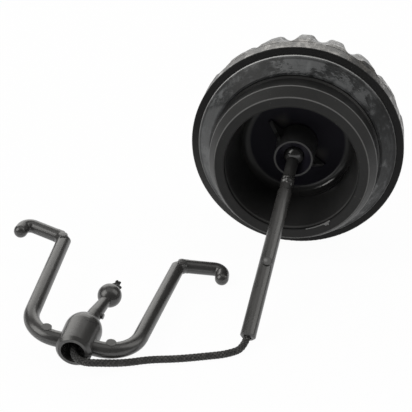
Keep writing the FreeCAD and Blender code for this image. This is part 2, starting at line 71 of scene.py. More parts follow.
class Wire:
    # one socket of a finish: sums, differences, products and quotients of wires add Math nodes

    def __init__(self, finish, socket):
        self.finish = finish
        self.socket = socket

    def calc(self, operation, *others):
        sockets = dict(enumerate((self,) + others))
        return self.finish.node("ShaderNodeMath", {"operation": operation}, sockets)

    def __add__(self, other):
        return self.calc("ADD", other)

    __radd__ = __add__

    def __mul__(self, other):
        return self.calc("MULTIPLY", other)

    __rmul__ = __mul__

    def __sub__(self, other):
        return self.calc("SUBTRACT", other)

    def __rsub__(self, other):
        return (self * -1) + other

    def __truediv__(self, other):
        return self.calc("DIVIDE", other)

    def step(self, low, high):
        # smooth rise from 0 at low to 1 at high; it falls instead where low is the larger
        span = (self - low) / (high - low)
        eased = self.finish.node("ShaderNodeClamp", {}, {0: span, 1: 0.0, 2: 1.0})
        return eased * eased * (3 - 2 * eased)

    def near(self, middle, reach):
        # 1 at the middle, falling to 0 at reach on both sides
        return (self - middle).calc("ABSOLUTE").step(reach, 0.0)

    def scaled(self, gain, base):
        # times the gain, plus the base
        return self * gain + base


class Finish:
    # a material with one Principled shader, whose nodes are made by node()

    def __init__(self, name):
        self.material = bpy.data.materials.new(name)
        self.material.use_nodes = True
        self.tree = self.material.node_tree
        self.tree.nodes.clear()
        self.shader = self.tree.nodes.new("ShaderNodeBsdfPrincipled")
        self.out = self.tree.nodes.new("ShaderNodeOutputMaterial")
        self.show(Wire(self, self.shader.outputs[0]))

    def node(self, kind, settings, sockets, output=0):
        made = self.tree.nodes.new(kind)
        for name, value in settings.items():
            setattr(made, name, value)
        for name, value in sockets.items():
            self.plug(made.inputs[name], value)
        return Wire(self, made.outputs[output])

    def plug(self, socket, value):
        if isinstance(value, Wire):
            self.tree.links.new(value.socket, socket)
        else:
            socket.default_value = value

    def show(self, surface):
        self.plug(self.out.inputs["Surface"], surface)

    def set(self, **sockets):
        for name, value in sockets.items():
            self.plug(self.shader.inputs[name.replace("_", " ")], value)

    def place(self):
        return self.node("ShaderNodeTexCoord", {}, {}, "Object")

    def axes(self, vector):
        return [self.node("ShaderNodeSeparateXYZ", {}, {0: vector}, axis) for axis in range(3)]

    def joined(self, x, y, z):
        return self.node("ShaderNodeCombineXYZ", {}, {0: x, 1: y, 2: z})

    def along(self, vector, origin, direction):
        # distance of a point from an origin, measured in one direction
        offset = self.node("ShaderNodeVectorMath", {"operation": "SUBTRACT"}, {0: vector, 1: origin})
        both = {0: offset, 1: direction}
        return self.node("ShaderNodeVectorMath", {"operation": "DOT_PRODUCT"}, both, "Value")

    def apart(self, vector, origin):
        # plain distance of a point from an origin
        ends = {0: vector, 1: origin}
        return self.node("ShaderNodeVectorMath", {"operation": "DISTANCE"}, ends, "Value")

    def polar(self, vector):
        # distance from the cap's axis, angle from its top towards +X, and place along the axis
        x, y, z = self.axes(vector)
        return (x * x + z * z).calc("SQRT"), x.calc("ARCTAN2", z), y

    def stretch(self, vector, scale):
        return self.node("ShaderNodeMapping", {}, {"Vector": vector, "Scale": scale})

    def noise(self, vector, scale, detail, roughness):
        sockets = {"Vector": vector, "Scale": scale, "Detail": detail, "Roughness": roughness}
        return self.node("ShaderNodeTexNoise", {}, sockets)

    def tint(self, share, first, second):
        sockets = {0: share, 6: first, 7: second}
        return self.node("ShaderNodeMix", {"data_type": "RGBA"}, sockets, 2)

    def layered(self, tone, layers):
        # lays coats over a tone, each one by its share
        for share, coat in layers:
            tone = self.tint(share, tone, coat)
        return tone

    def bump(self, height, strength, distance):
        sockets = {"Height": height, "Strength": strength, "Distance": distance}
        return self.node("ShaderNodeBump", {}, sockets)


def grey(level, warmth=0.0):
    return (level * (1 + warmth), level, level * (1 - warmth), 1.0)


def dress(name, finish):
    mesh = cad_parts[name].data
    mesh.materials.clear()
    mesh.materials.append(finish.material)


# tones are linear greys, lengths are metres, and depths and radii are from the frame's origin and Y axis
capSettings = {
    # tones, and how much of each is laid on
    "dark": 0.017,
    "light": 0.028,
    "deepShade": (0.014, 0.013, 0.02, 1.0),
    "gripDark": 0.024,
    "gripLight": 0.095,
    "gripWarmth": 0.1,
    "scuff": 0.19,
    "scuffShare": 0.5,
    "wall": 0.034,
    "ribLight": 0.1,
    "ring": 0.006,
    "ringShare": 0.9,
    "shadowShare": 0.7,
    "dust": 0.07,
    "dustWarmth": 0.04,
    "dustShare": 0.7,
    "edge": 0.2,
    "root": 0.02,
    "boss": 0.09,
    "lit": 0.07,
    "litWarmth": 0.03,
    "litShare": 0.9,
    "litSpots": [(-0.62, 0.0064), (2.0, 0.0062)],  # angle and radius
    "litTurn": 0.4,
    "litReach": 0.0026,
    "noseBounceLight": 0.06,
    "noseShare": 0.9,
    "noseAngle": -2.3,
    "noseReach": 1.1,
    "noseHighlightCut": 0.75,
    "neckShade": 0.5,
    "neckShare": 0.8,
    # roughness of each finish, and its coat
    "mattRough": 0.5,
    "neckRough": 0.34,
    "gripRough": 0.4,
    "glossRough": 0.17,
    "wallRough": 0.3,
    "filletRough": 0.1,
    "floorRough": 0.7,
    "roughSpread": 0.12,
    "gripCoat": 0.1,
    "wallCoat": 0.3,
    "coatRough": 0.12,
    "specular": 0.2,
    # where each finish begins and where it is full
    "gripDepth": (0.0066, 0.0070),
    "gripRadius": (0.0205, 0.0210),
    "boreDepth": (0.0125, 0.0120),
    "boreRadius": (0.0155, 0.0151),
    "floorRadius": (0.0119, 0.0111),
    "floorDepth": (0.0095, 0.0101),
    "filletDepth": (0.0076, 0.0084),
    "filletRadius": (0.0111, 0.0117),
    "neckInner": (0.0186, 0.0189),
    "neckOuter": (0.0202, 0.0199),
    "neckFront": (-0.0021, -0.0018),
    "neckBack": (0.0070, 0.0066),
    "rootDepth": (0.0044, 0.0060),
    "ribDepth": (0.0064, 0.0068),
    "ribInner": (0.00475, 0.00495),
    "ribOuter": (0.0108, 0.0104),
    "cupRadius": (0.0042, 0.0040),
    "ringDepth": (0.0066, 0.0064),
    "ringRadius": (0.0234, 0.0236),
    "crest": (0.0242, 0.0251),
    "crestFoot": (0.0222, 0.0242),
    "mouthRadius": (0.0157, 0.0155),
    "mouthDepth": (-0.0046, -0.0048),
    "noseRadius": (0.0175, 0.0177),
    "noseDepth": (-0.0023, -0.0026),
    "bossOuter": (0.0054, 0.0052),
    "bossDepth": (0.0012, 0.0016),
    "bossInner": (0.00435, 0.00445),
    # middle and reach of each worn mark
    "polish": (2.5, 0.75),
    "ledge": (0.01085, 0.00005),
    "lip": (-0.0042, 0.0005),
    "lipShare": 0.4,
    # radius and depth of each rubbed edge
    "edges": [(0.01932, -0.00228), (0.01763, -0.00510)],
    "edgeHalf": 0.00024,
    "edgeGrain": (0.5, 0.6),
    # scale, detail and roughness of each noise, and the part of its range that shows
    "cloudNoise": (160.0, 5.0, 0.6),
    "grainNoise": (4200.0, 3.0, 0.6),
    "strokeNoise": (620.0, 4.0, 0.6),
    "strokeStretch": (1.0, 0.4, 1.0),
    "scuffRange": (0.6, 0.7),
    "glossRange": (0.5, 0.64),
    "wornRange": (0.35, 0.65),
    "speckNoise": (2600.0, 1.0, 0.4),
    "speckRange": (0.7, 0.78),
    "speckCloud": (0.4, 0.65),
    "waveNoise": (420.0, 2.0, 0.5),
    "waveStretch": (1.0, 0.12, 1.0),
    # heights of the relief
    "waveRise": 0.00006,
    "poreRise": 0.000022,
    "gripPores": 0.8,
    "strokeRise": 0.00003,
}


def makeCapPlastic(settings):
    finish = Finish("capPlastic")
    place = finish.place()
    radius, angle, depth = finish.polar(place)
    # one moulding with several finishes: matt front, smoother neck, worn grip, glossy bore, dull floor
    grip = depth.step(*settings["gripDepth"]) * radius.step(*settings["gripRadius"])
    inside = depth.step(*settings["boreDepth"])
    bore = inside * radius.step(*settings["boreRadius"])
    floor = inside * radius.step(*settings["floorRadius"]) * depth.step(*settings["floorDepth"])
    fillet = bore * depth.step(*settings["filletDepth"]) * radius.step(*settings["filletRadius"])
    neck = radius.step(*settings["neckInner"]) * radius.step(*settings["neckOuter"])
    neck = neck * depth.step(*settings["neckFront"]) * depth.step(*settings["neckBack"])
    root = neck * depth.step(*settings["rootDepth"])
    litRibs = bore * (1 - floor) * depth.step(*settings["ribDepth"])
    litRibs = litRibs * radius.step(*settings["ribInner"]) * radius.step(*settings["ribOuter"])
    cup = bore * radius.step(*settings["cupRadius"])
    ring = depth.step(*settings["ringDepth"]) * radius.step(*settings["ringRadius"])
    boss = bore * (1 - floor) * radius.step(*settings["bossOuter"]) * depth.step(*settings["bossDepth"])
    boss = boss * radius.step(*settings["bossInner"])
    ledge = grip * depth.near(*settings["ledge"])
    cloud = finish.noise(place, *settings["cloudNoise"])
    grain = finish.noise(place, *settings["grainNoise"])
    # handling marks on the crests of the lobes: pale flecks and short rubbed strokes along the axis
    strokes = finish.noise(finish.stretch(place, settings["strokeStretch"]), *settings["strokeNoise"])
    scuff = grip * radius.step(*settings["crest"]) * strokes.step(*settings["scuffRange"])
    gloss = grip * strokes.step(*settings["glossRange"])
    speck = finish.noise(place, *settings["speckNoise"]).step(*settings["speckRange"])
    speck = speck * cloud.step(*settings["speckCloud"])
    # painted highlights: the neck's two turned edges and the mouth's lip are painted pale where the lamps
    # catch them
    edgeHighlights = 0.0
    for edgeRadius, edgeDepth in settings["edges"]:
        line = radius.near(edgeRadius, settings["edgeHalf"])
        edgeHighlights = line * depth.near(edgeDepth, settings["edgeHalf"]) + edgeHighlights
    edgeHighlights = edgeHighlights * grain.scaled(*settings["edgeGrain"])
    lip = bore * depth.near(*settings["lip"])
    shadow = inside * radius.step(*settings["mouthRadius"]) * depth.step(*settings["mouthDepth"])
    # painted light: on the lower left the nose and the rim are painted paler, to the tone of the face, for
    # light thrown up from the floor, and the painted edge highlights are weaker there
    lower = angle.near(settings["noseAngle"], settings["noseReach"])
    noseBounceLight = radius.step(*settings["noseRadius"]) * depth.step(*settings["noseDepth"]) * lower
    edgeHighlights = edgeHighlights * (1 - lower * settings["noseHighlightCut"])
    stainAndLedgeLight = grey(settings["gripLight"], settings["gripWarmth"])
    worn = finish.tint(strokes.step(*settings["wornRange"]), grey(settings["gripDark"]), stainAndLedgeLight)
    layers = [
        (grip * radius.step(*settings["crestFoot"]), worn),
        # painted shade: the neck is painted darker than the face, for the flange and gasket that shut off its
        # light
        (neck * settings["neckShare"], grey(settings["dark"] * settings["neckShade"])),
        # painted light: the neck's root beside the gasket is painted paler, against the shade in the corner
        # there
        (root, grey(settings["root"])),
        # painted light: the bore's wall is painted paler than the face, lifting it out of the bore's shade
        (bore, grey(settings["wall"])),
        # painted shade: the bore's floor and the cup inside the boss are painted darkest
        ((floor + cup).calc("MINIMUM", 1.0), settings["deepShade"]),
    ]
    # painted light: beside each gusset the floor is painted paler, as a patch of light
    for litAngle, litRadius in settings["litSpots"]:
        lit = floor * angle.near(litAngle, settings["litTurn"]) * radius.near(litRadius, settings["litReach"])
        layers.append((lit * settings["litShare"], grey(settings["lit"], settings["litWarmth"])))
    layers += [
        # painted light: the boss's side and the gussets' faces are painted paler, as light falling on them
        (boss, grey(settings["boss"])),
        (litRibs, grey(settings["ribLight"])),
        (shadow * settings["shadowShare"], grey(settings["ring"])),
        (ring * settings["ringShare"], grey(settings["ring"])),
        ((noseBounceLight + ring * lower) * settings["noseShare"], grey(settings["noseBounceLight"])),
        (scuff * settings["scuffShare"], grey(settings["scuff"], settings["gripWarmth"])),
        # painted light: the ledge behind the lobes is painted in the grip's pale stain tone, over a dark
        # shade line there
        (ledge, stainAndLedgeLight),
        (speck * (1 - bore) * settings["dustShare"], grey(settings["dust"], settings["dustWarmth"])),
        # painted highlights on the turned edges and the mouth's lip
        ((edgeHighlights + lip * settings["lipShare"]).calc("MINIMUM", 1.0), grey(settings["edge"])),
    ]
    plain = finish.tint(cloud, grey(settings["dark"]), grey(settings["light"]))
    # the bore's wall is drawn in long soft waves, which break up its reflections
    wall = finish.noise(finish.stretch(place, settings["waveStretch"]), *settings["waveNoise"])
    waves = wall * bore * (1 - floor) * settings["waveRise"]
    pores = grain * (1 - bore) * (1 - grip * settings["gripPores"]) * settings["poreRise"]
    dents = strokes * grip * settings["strokeRise"]
    # one side of the fillet round the bore's floor is rubbed bright
    polished = fillet * angle.near(*settings["polish"])
    rough = settings["mattRough"] - grip * (settings["mattRough"] - settings["gripRough"])
    rough = rough - neck * (settings["mattRough"] - settings["neckRough"])
    rough = rough - bore * (settings["mattRough"] - settings["wallRough"])
    rough = rough + floor * (settings["floorRough"] - settings["wallRough"])
    rough = rough - polished * (settings["wallRough"] - settings["filletRough"])
    rough = rough - gloss * (settings["gripRough"] - settings["glossRough"])
    coat = grip * settings["gripCoat"] + bore * (1 - floor) * (1 - fillet) * settings["wallCoat"]
    finish.set(
        Base_Color=finish.layered(plain, layers),
        Roughness=rough + (cloud - 0.5) * settings["roughSpread"],
        Normal=finish.bump(waves + pores + dents, 1.0, 1.0),
        Coat_Weight=coat + polished,
        Coat_Roughness=settings["coatRough"],
        Specular_IOR_Level=settings["specular"],
    )
    return finish


gasketSettings = {
    "inner": 0.01985,
    "outer": 0.02345,
    # tones, and how cold each one is
    "dark": 0.010,
    "darkTint": -0.06,
    "dull": 0.034,
    "dullTint": -0.05,
    "film": 0.125,
    "fanReflection": 0.095,
    "scratch": 0.17,
    "filmTint": -0.03,
    # painted highlight along the outer edge, and the groove beside it
    "edge": 0.75,
    "edgeWidth": 0.00009,
    "edgeSoft": 0.00008,
    "edgeShare": 0.85,
    "edgeTurn": (-0.3, 1.5),
    "edgeTurnShare": (0.8, 0.2),
    "grooveInset": 0.00042,
    "grooveHalf": 0.0003,
    "grooveShare": 0.7,
    # angles of the fan and the stroke, and where wiping kept the film or took it off
    "fanLow": (-2.35, -2.10),
    "fanHigh": (-0.92, -1.00),
    "fanSlant": 70.0,
    "fanSpeck": (0.4, 0.5),
    "strokeTurn": (0.1, 0.035),
    "strokeInner": (0.0008, 0.0014),
    "strokeOuter": (0.003, 0.0024),
    "strokeShare": 0.7,
    "filmSpot": (0.15, 0.9),
    "filmGain": 0.1,
    "dimSpots": [((-0.75, 0.5), 0.1), ((1.5, 0.7), 0.08)],
    # noises, and the part of each one's range that shows; a small draw makes long streaks
    "patchNoise": (200.0, 6.0, 0.66),
    "speckNoise": (1900.0, 3.0, 0.6),
    "filmRange": (0.42, 0.6),
    "filmSpeck": (0.6, 0.65),
    "flatten": 0.3,
    "smearNoise": (560.0, 9.0, 0.74),
    "smearDraw": 0.008,
    "smearByAngle": 0.4,
    "streakRange": (0.53, 0.5),
    "streakPatch": (0.62, 0.54),
    "streakShare": 0.75,
    "streakMost": 0.92,
    "fineNoise": (1500.0, 8.0, 0.7),
    "fineDraw": 0.006,
    "fineRange": (0.47, 0.41),
    "fineSmear": (0.6, 0.45),
    "hairNoise": (2600.0, 2.0, 0.5),
    "hairDraw": 0.004,
    "hairRange": (0.7, 0.74),
    "hairPatch": (0.48, 0.58),
    "hairShare": 0.6,
    # roughness and relief
    "roughness": 0.5,
    "filmGloss": 0.16,
    "speckRise": 0.00003,
    "smearRise": 0.00006,
    "specular": 0.35,
}


def makeGasketRubber(settings):
    finish = Finish("gasketRubber")
    place = finish.place()
    radius, angle, depth = finish.polar(place)
    across = radius - settings["inner"]
    # a film of old fuel in cloudy patches, wiped off in dark streaks that are drawn out along the ring
    patch = finish.noise(place, *settings["patchNoise"])
    speck = finish.noise(place, *settings["speckNoise"])
    # by angle round the ring: the film is heavier and paler towards the top, and thinner, with more dark
    # streaks, at two places on the upper left and the right
    filmByAngle = angle.near(*settings["filmSpot"]) * settings["filmGain"]
    for spot, loss in settings["dimSpots"]:
        filmByAngle = filmByAngle - angle.near(*spot) * loss
    film = (patch + filmByAngle).step(*settings["filmRange"]) * speck.scaled(*settings["filmSpeck"])
    ringed = finish.joined(angle * settings["smearDraw"], across, depth * settings["flatten"])
    smear = finish.noise(ringed, *settings["smearNoise"])
    streak = (smear + filmByAngle * settings["smearByAngle"]).step(*settings["streakRange"])
    streak = streak * patch.step(*settings["streakPatch"])
    drawn = finish.joined(angle * settings["fineDraw"], across, depth * settings["flatten"])
    fine = finish.noise(drawn, *settings["fineNoise"]).step(*settings["fineRange"])
    fine = fine * smear.step(*settings["fineSmear"])
    streaks = streak * settings["streakShare"] + fine * settings["streakShare"]
    # painted reflection: a paler fan on the left with a slanted edge, where the ring mirrors the lamps on the
    # left, and one short stroke across the ring near the top
    slanted = angle + across * settings["fanSlant"]
    reflectedFan = slanted.step(*settings["fanHigh"]) * slanted.step(*settings["fanLow"])
    stroke = angle.near(*settings["strokeTurn"])
    stroke = stroke * across.step(*settings["strokeInner"]) * across.step(*settings["strokeOuter"])
    combed = finish.joined(angle * settings["hairDraw"], across, depth)
    hair = finish.noise(combed, *settings["hairNoise"]).step(*settings["hairRange"])
    scratch = hair * patch.step(*settings["hairPatch"])
    marks = stroke * settings["strokeShare"] + scratch * settings["hairShare"]
    # a painted highlight along the outer edge, and beside it a dark groove
    inset = settings["outer"] - settings["edgeWidth"]
    groove = radius.near(inset - settings["grooveInset"], settings["grooveHalf"])
    rimHighlight = radius.step(inset - settings["edgeSoft"], inset)
    rimHighlight = rimHighlight * angle.near(*settings["edgeTurn"]).scaled(*settings["edgeTurnShare"])
    dull = grey(settings["dull"], settings["dullTint"])
    plain = finish.tint(film, dull, grey(settings["film"], settings["filmTint"]))
    layers = [
        (streaks.calc("MINIMUM", settings["streakMost"]), grey(settings["dark"], settings["darkTint"])),
        (reflectedFan * speck.scaled(*settings["fanSpeck"]), grey(settings["fanReflection"], settings["filmTint"])),
        (marks.calc("MINIMUM", 1.0), grey(settings["scratch"], settings["filmTint"])),
        (groove * settings["grooveShare"], grey(settings["dark"])),
        (rimHighlight * settings["edgeShare"], grey(settings["edge"])),
    ]
    height = speck * settings["speckRise"] + smear * settings["smearRise"]
    finish.set(
        Base_Color=finish.layered(plain, layers),
        Roughness=settings["roughness"] - film * settings["filmGloss"],
        Normal=finish.bump(height, 1.0, 1.0),
        Specular_IOR_Level=settings["specular"],
    )
    return finish


# the clip's and the stem's moulds part along their flat middle planes
tetherSettings = {
    "dark": 0.035,
    "light": 0.05,
    "warmth": 0.02,
    "scuff": 0.11,
    "scuffShare": 0.2,
    "pip": 0.1,
    "pipShare": 0.6,
    "glint": 0.3,
    "glintShare": 0.6,
    "shade": 0.006,
    "shadeShare": 0.9,
    "outlineShare": 0.8,
    "roughness": 0.28,
    "roughSpread": 0.12,
    "underRough": 0.5,
    "shadeGloss": 0.08,
    "specular": 0.8,
    # places and directions on the clip and the stem
    "clipMouth": (-0.0374, -0.0533, -0.02071),
    "clipUp": (0.16002, -0.02672, 0.98675),
    "ball": (0.0, 0.00435, 0.0),
    "shadeEdge": (0.0075, 0.0045),
    "underEdge": (0.0004, -0.0004),
    "stemUp": (0.15991, -0.47961, 0.86279),
    "stemPip": (-0.00241, -0.02398, -0.01301),
    "pipEdge": (0.00095, 0.00075),
    "pipOutline": (0.00105, 0.0002),
    "pipGlint": (-0.00271, -0.02398, -0.01271),
    "glintEdge": (0.0006, 0.0002),
    # noises, and heights of the relief
    "cloudNoise": (300.0, 3.0, 0.55),
    "dentNoise": (320.0, 2.0, 0.5),
    "markNoise": (1300.0, 4.0, 0.7),
    "markStretch": (1.0, 0.3, 1.0),
    "markRange": (0.63, 0.72),
    "markCloud": (0.45, 0.6),
    "seamHalf": 0.00007,
    "seamRise": 0.00004,
    "dentRise": 0.000012,
}


def makeMouldedPlastic(name, settings, origin, across):
    finish = Finish(name)
    place = finish.place()
    cloud = finish.noise(place, *settings["cloudNoise"])
    dent = finish.noise(place, *settings["dentNoise"])
    mark = finish.noise(finish.stretch(place, settings["markStretch"]), *settings["markNoise"])
    mark = mark.step(*settings["markRange"]) * cloud.step(*settings["markCloud"])
    seam = finish.along(place, origin, across).near(0.0, settings["seamHalf"])
    # the stem's gate pip is pale with a dark outline, and its ball and neck are dark from the cup
    reach = finish.apart(place, settings["stemPip"])
    pip = reach.step(*settings["pipEdge"])
    outline = reach.near(*settings["pipOutline"])
    glint = finish.apart(place, settings["pipGlint"]).step(*settings["glintEdge"])
    shade = finish.apart(place, settings["ball"]).step(*settings["shadeEdge"])
    under = finish.axes(place)[2].step(*settings["underEdge"])
    dark = grey(settings["dark"], settings["warmth"])
    plain = finish.tint(cloud, dark, grey(settings["light"], settings["warmth"]))
    layers = [
        (mark * settings["scuffShare"], grey(settings["scuff"], settings["warmth"])),
        (shade * settings["shadeShare"], grey(settings["shade"])),
        (outline * settings["outlineShare"], grey(settings["shade"])),
        (pip * settings["pipShare"], grey(settings["pip"])),
        (glint * settings["glintShare"], grey(settings["glint"])),
    ]
    rough = settings["roughness"] + (cloud - 0.5) * settings["roughSpread"]
    finish.set(
        Base_Color=finish.layered(plain, layers),
        Roughness=rough + shade * (under * settings["underRough"] - settings["shadeGloss"]),
        Normal=finish.bump(dent * settings["dentRise"] + seam * settings["seamRise"], 1.0, 1.0),
        Specular_IOR_Level=settings["specular"],
    )
    return finish


dress("cap_body", makeCapPlastic(capSettings))
dress("sealing_gasket", makeGasketRubber(gasketSettings))
ball, stemUp = tetherSettings["ball"], tetherSettings["stemUp"]
stemPlastic = makeMouldedPlastic("stemPlastic", tetherSettings, ball, stemUp)
mouth, clipUp = tetherSettings["clipMouth"], tetherSettings["clipUp"]
clipPlastic = makeMouldedPlastic("clipPlastic", tetherSettings, mouth, clipUp)
dress("tether_stem", stemPlastic)
dress("cord_end_fitting", stemPlastic)
dress("anchor_clip", clipPlastic)
print("moulded pieces finished")

cordSettings = {
    "route": [
        (-0.004108, -0.036892, -0.022164),
        (-0.004485, -0.04068, -0.0242),
        (-0.0076, -0.0433, -0.02435),
        (-0.0122, -0.0450, -0.02435),
        (-0.0176, -0.0469, -0.02435),
        (-0.0230, -0.0481, -0.02435),
        (-0.0274, -0.0507, -0.0239),
        (-0.0312, -0.0528, -0.0229),
        (-0.0358, -0.0550, -0.0217),
        (-0.0380, -0.0520, -0.0209),
        (-0.037875, -0.048225, -0.020324),
    ],
    "radius": 0.0008,
    "strands": 6,
    "pitch": 0.0050,
    "strandWidth": 0.0003,
    "strandThickness": 0.00014,
    "lift": 0.0001,
    "shadedEnd": 0.0035,
    "steps": 420,
    "around": 8,
    "splineOrder": 3,
    "splineSteps": 24,
}


def readRoute(settings):
    # the route's own smooth line, as the spline gives it
    points = settings["route"]
    curve = bpy.data.curves.new("cordRoute", "CURVE")
    curve.dimensions = "3D"
    curve.resolution_u = settings["splineSteps"]
    spline = curve.splines.new("NURBS")
    spline.points.add(len(points) - 1)
    flat = np.column_stack([np.array(points), np.ones(len(points))])
    spline.points.foreach_set("co", flat.ravel())
    spline.order_u = settings["splineOrder"]
    spline.use_endpoint_u = True
    holder = bpy.data.objects.new("cordRoute", curve)
    scene.collection.objects.link(holder)
    bpy.context.view_layer.update()
    shown = holder.evaluated_get(bpy.context.evaluated_depsgraph_get())
    mesh = bpy.data.meshes.new_from_object(shown)
    line = np.empty(len(mesh.vertices) * 3)
    mesh.vertices.foreach_get("co", line)
    bpy.data.meshes.remove(mesh)
    bpy.data.objects.remove(holder)
    return line.reshape(-1, 3)


def evenly(line, count):
    # the same line at equal distances along it
    run = np.concatenate([[0], np.cumsum(np.linalg.norm(np.diff(line, axis=0), axis=1))])
    at = np.linspace(0, run[-1], count)
    return np.column_stack([np.interp(at, run, line[:, axis]) for axis in range(3)]), at


def frames(line):
    # sideways and upward unit vectors along a line that is nowhere upright
    ahead = np.gradient(line, axis=0)
    ahead /= np.linalg.norm(ahead, axis=1, keepdims=True)
    side = np.cross(ahead, np.array([0.0, 0.0, 1.0]))
    side /= np.linalg.norm(side, axis=1, keepdims=True)
    return side, np.cross(side, ahead)


def gridFaces(rows, columns, wrap, base=0):
    # quads of a grid of rows by columns, closed round the columns where wrap is true
    row = np.arange(rows - 1)[:, None]
    column = np.arange(columns if wrap else columns - 1)[None, :]
    following = (column + 1) % columns
    quads = np.stack([
        row * columns + column,
        row * columns + following,
        (row + 1) * columns + following,
        (row + 1) * columns + column,
    ], axis=-1)
    return quads.reshape(-1, 4) + base


def tubeFaces(rows, columns, base=0):
    # the sides of a tube of rows rings, and one face over each of its ends
    first = np.arange(columns) + base
    last = first + (rows - 1) * columns
    return gridFaces(rows, columns, True, base).tolist() + [first[::-1].tolist(), last.tolist()]


def meshPiece(name, points, faces, finish, smooth=True):
    mesh = bpy.data.meshes.new(name)
    mesh.from_pydata(points, [], faces)
    mesh.polygons.foreach_set("use_smooth", np.full(len(mesh.polygons), smooth))
    mesh.materials.append(finish.material)
    mesh.update()
    piece = bpy.data.objects.new(name, mesh)
    scene.collection.objects.link(piece)
    return piece


braidSettings = {
    "dark": 0.012,
    "light": 0.03,
    "worn": 0.1,
    "highlightWarmth": 0.03,
    "fibreNoise": (5200.0, 4.0, 0.65),
    "dustNoise": (1500.0, 2.0, 0.5),
    "dustRange": (0.45, 0.65),
    "dustShare": (0.7, 0.3),
    "overRange": (0.55, 1.0),
    "roughness": 0.62,
    "fibreGloss": 0.22,
    "fibreStrength": 0.8,
    "fibreRise": 0.00006,
    "specular": 0.4,
}


def makeCordBraid(settings):
    finish = Finish("cordBraid")
    place = finish.place()
    fibre = finish.noise(place, *settings["fibreNoise"])
    dust = finish.noise(place, *settings["dustNoise"]).step(*settings["dustRange"])
    # painted shade and highlight: a yarn keeps its dark tone where it dives under the others, and where it
    # comes up the worn tone is laid on it as a painted highlight, broken up by a patchy noise
    over = finish.node("ShaderNodeAttribute", {"attribute_name": "over"}, {}, "Fac")
    raised = over.step(*settings["overRange"]) * dust.scaled(*settings["dustShare"])
    tone = finish.tint(fibre, grey(settings["dark"]), grey(settings["light"]))
    finish.set(
        Base_Color=finish.tint(raised, tone, grey(settings["worn"], settings["highlightWarmth"])),
        Roughness=settings["roughness"] - fibre * settings["fibreGloss"],
        Normal=finish.bump(fibre, settings["fibreStrength"], settings["fibreRise"]),
        Specular_IOR_Level=settings["specular"],
    )
    return finish


def makeCord(settings):
    # Core: a tube. Strands: each turns about the line at a steady pitch, one half each way,
    # and its distance from the line rises and falls as it passes over and under the others.
    line, along = evenly(readRoute(settings), settings["steps"])
    side, up = frames(line)
    around = np.linspace(0, 2 * math.pi, settings["around"], endpoint=False)
    count = settings["strands"]
    outer = settings["radius"] - settings["strandThickness"] - settings["lift"]
    turn = 2 * math.pi * along / settings["pitch"]
    wave = settings["lift"] * np.cos(count * turn)
    # painted shade: the last stretch, inside the clip's barrel, gets no painted highlight on its yarns, so it
    # stays dark as in the barrel's shade
    unshaded = np.clip((along[-1] - along) / settings["shadedEnd"] - 1, 0, 1)
    points = []
    faces = []
    heights = []
    base = 0
    core = outer - settings["lift"]
    ring = side[:, None, :] * np.cos(around)[None, :, None]
    ring = ring - up[:, None, :] * np.sin(around)[None, :, None]
    points.append((line[:, None, :] + ring * core).reshape(-1, 3))
    heights.append(np.zeros(len(line) * len(around)))
    faces += tubeFaces(len(line), len(around), base)
    base += points[-1].shape[0]
    for way in (1, -1):
        for strand in range(count):
            angle = way * turn + 2 * math.pi * strand / count
            outward = side * np.cos(angle)[:, None] + up * np.sin(angle)[:, None]
            middle = line + outward * (outer + way * wave)[:, None]
            run = np.gradient(middle, axis=0)
            run /= np.linalg.norm(run, axis=1, keepdims=True)
            across = np.cross(outward, run)
            wide = across[:, None, :] * (settings["strandWidth"] * np.cos(around))[None, :, None]
            thick = outward[:, None, :] * (settings["strandThickness"] * np.sin(around))[None, :, None]
            points.append((middle[:, None, :] + wide + thick).reshape(-1, 3))
            shown = (0.5 + 0.5 * way * wave / settings["lift"]) * unshaded
            heights.append(np.repeat(shown, len(around)))
            faces += tubeFaces(len(line), len(around), base)
            base += points[-1].shape[0]
    piece = meshPiece("cordBraid", np.concatenate(points), faces, braid)
    over = piece.data.attributes.new("over", "FLOAT", "POINT")
    over.data.foreach_set("value", np.concatenate(heights))
    return piece, line, along[-1]


braid = makeCordBraid(braidSettings)
cord, cordLine, cordLength = makeCord(cordSettings)
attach(cord, "tether")
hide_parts("tether_cord")
print("cord laid, mm:", round(cordLength * 1000, 1))

tailSettings = {
    "foot": (-0.035598, -0.029308, -0.021091),
    "ahead": (0.11939, 0.99203, -0.04023),
    "side": (0.9789, -0.12439, -0.16212),
    "up": (0.16583, 0.02003, 0.98595),
    "sunk": 0.0004,
    "shortest": 0.0019,
    "longest": 0.0029,
    "spread": 0.0006,
    "splay": 0.0004,
    "thickness": 0.0004,
    "yarns": 11,
    "steps": 14,
    "around": 7,
    "seed": 5,
    "turnSpread": 0.25,
    "splayShare": (0.1, 1.0),
    "waver": 0.00006,
    "waverTurns": (7, 6),
    "bulge": (0.85, 0.25),
    "bulgeTurns": (9, 4),
    "tipRate": 9,
    "tipLeast": 0.05,
}


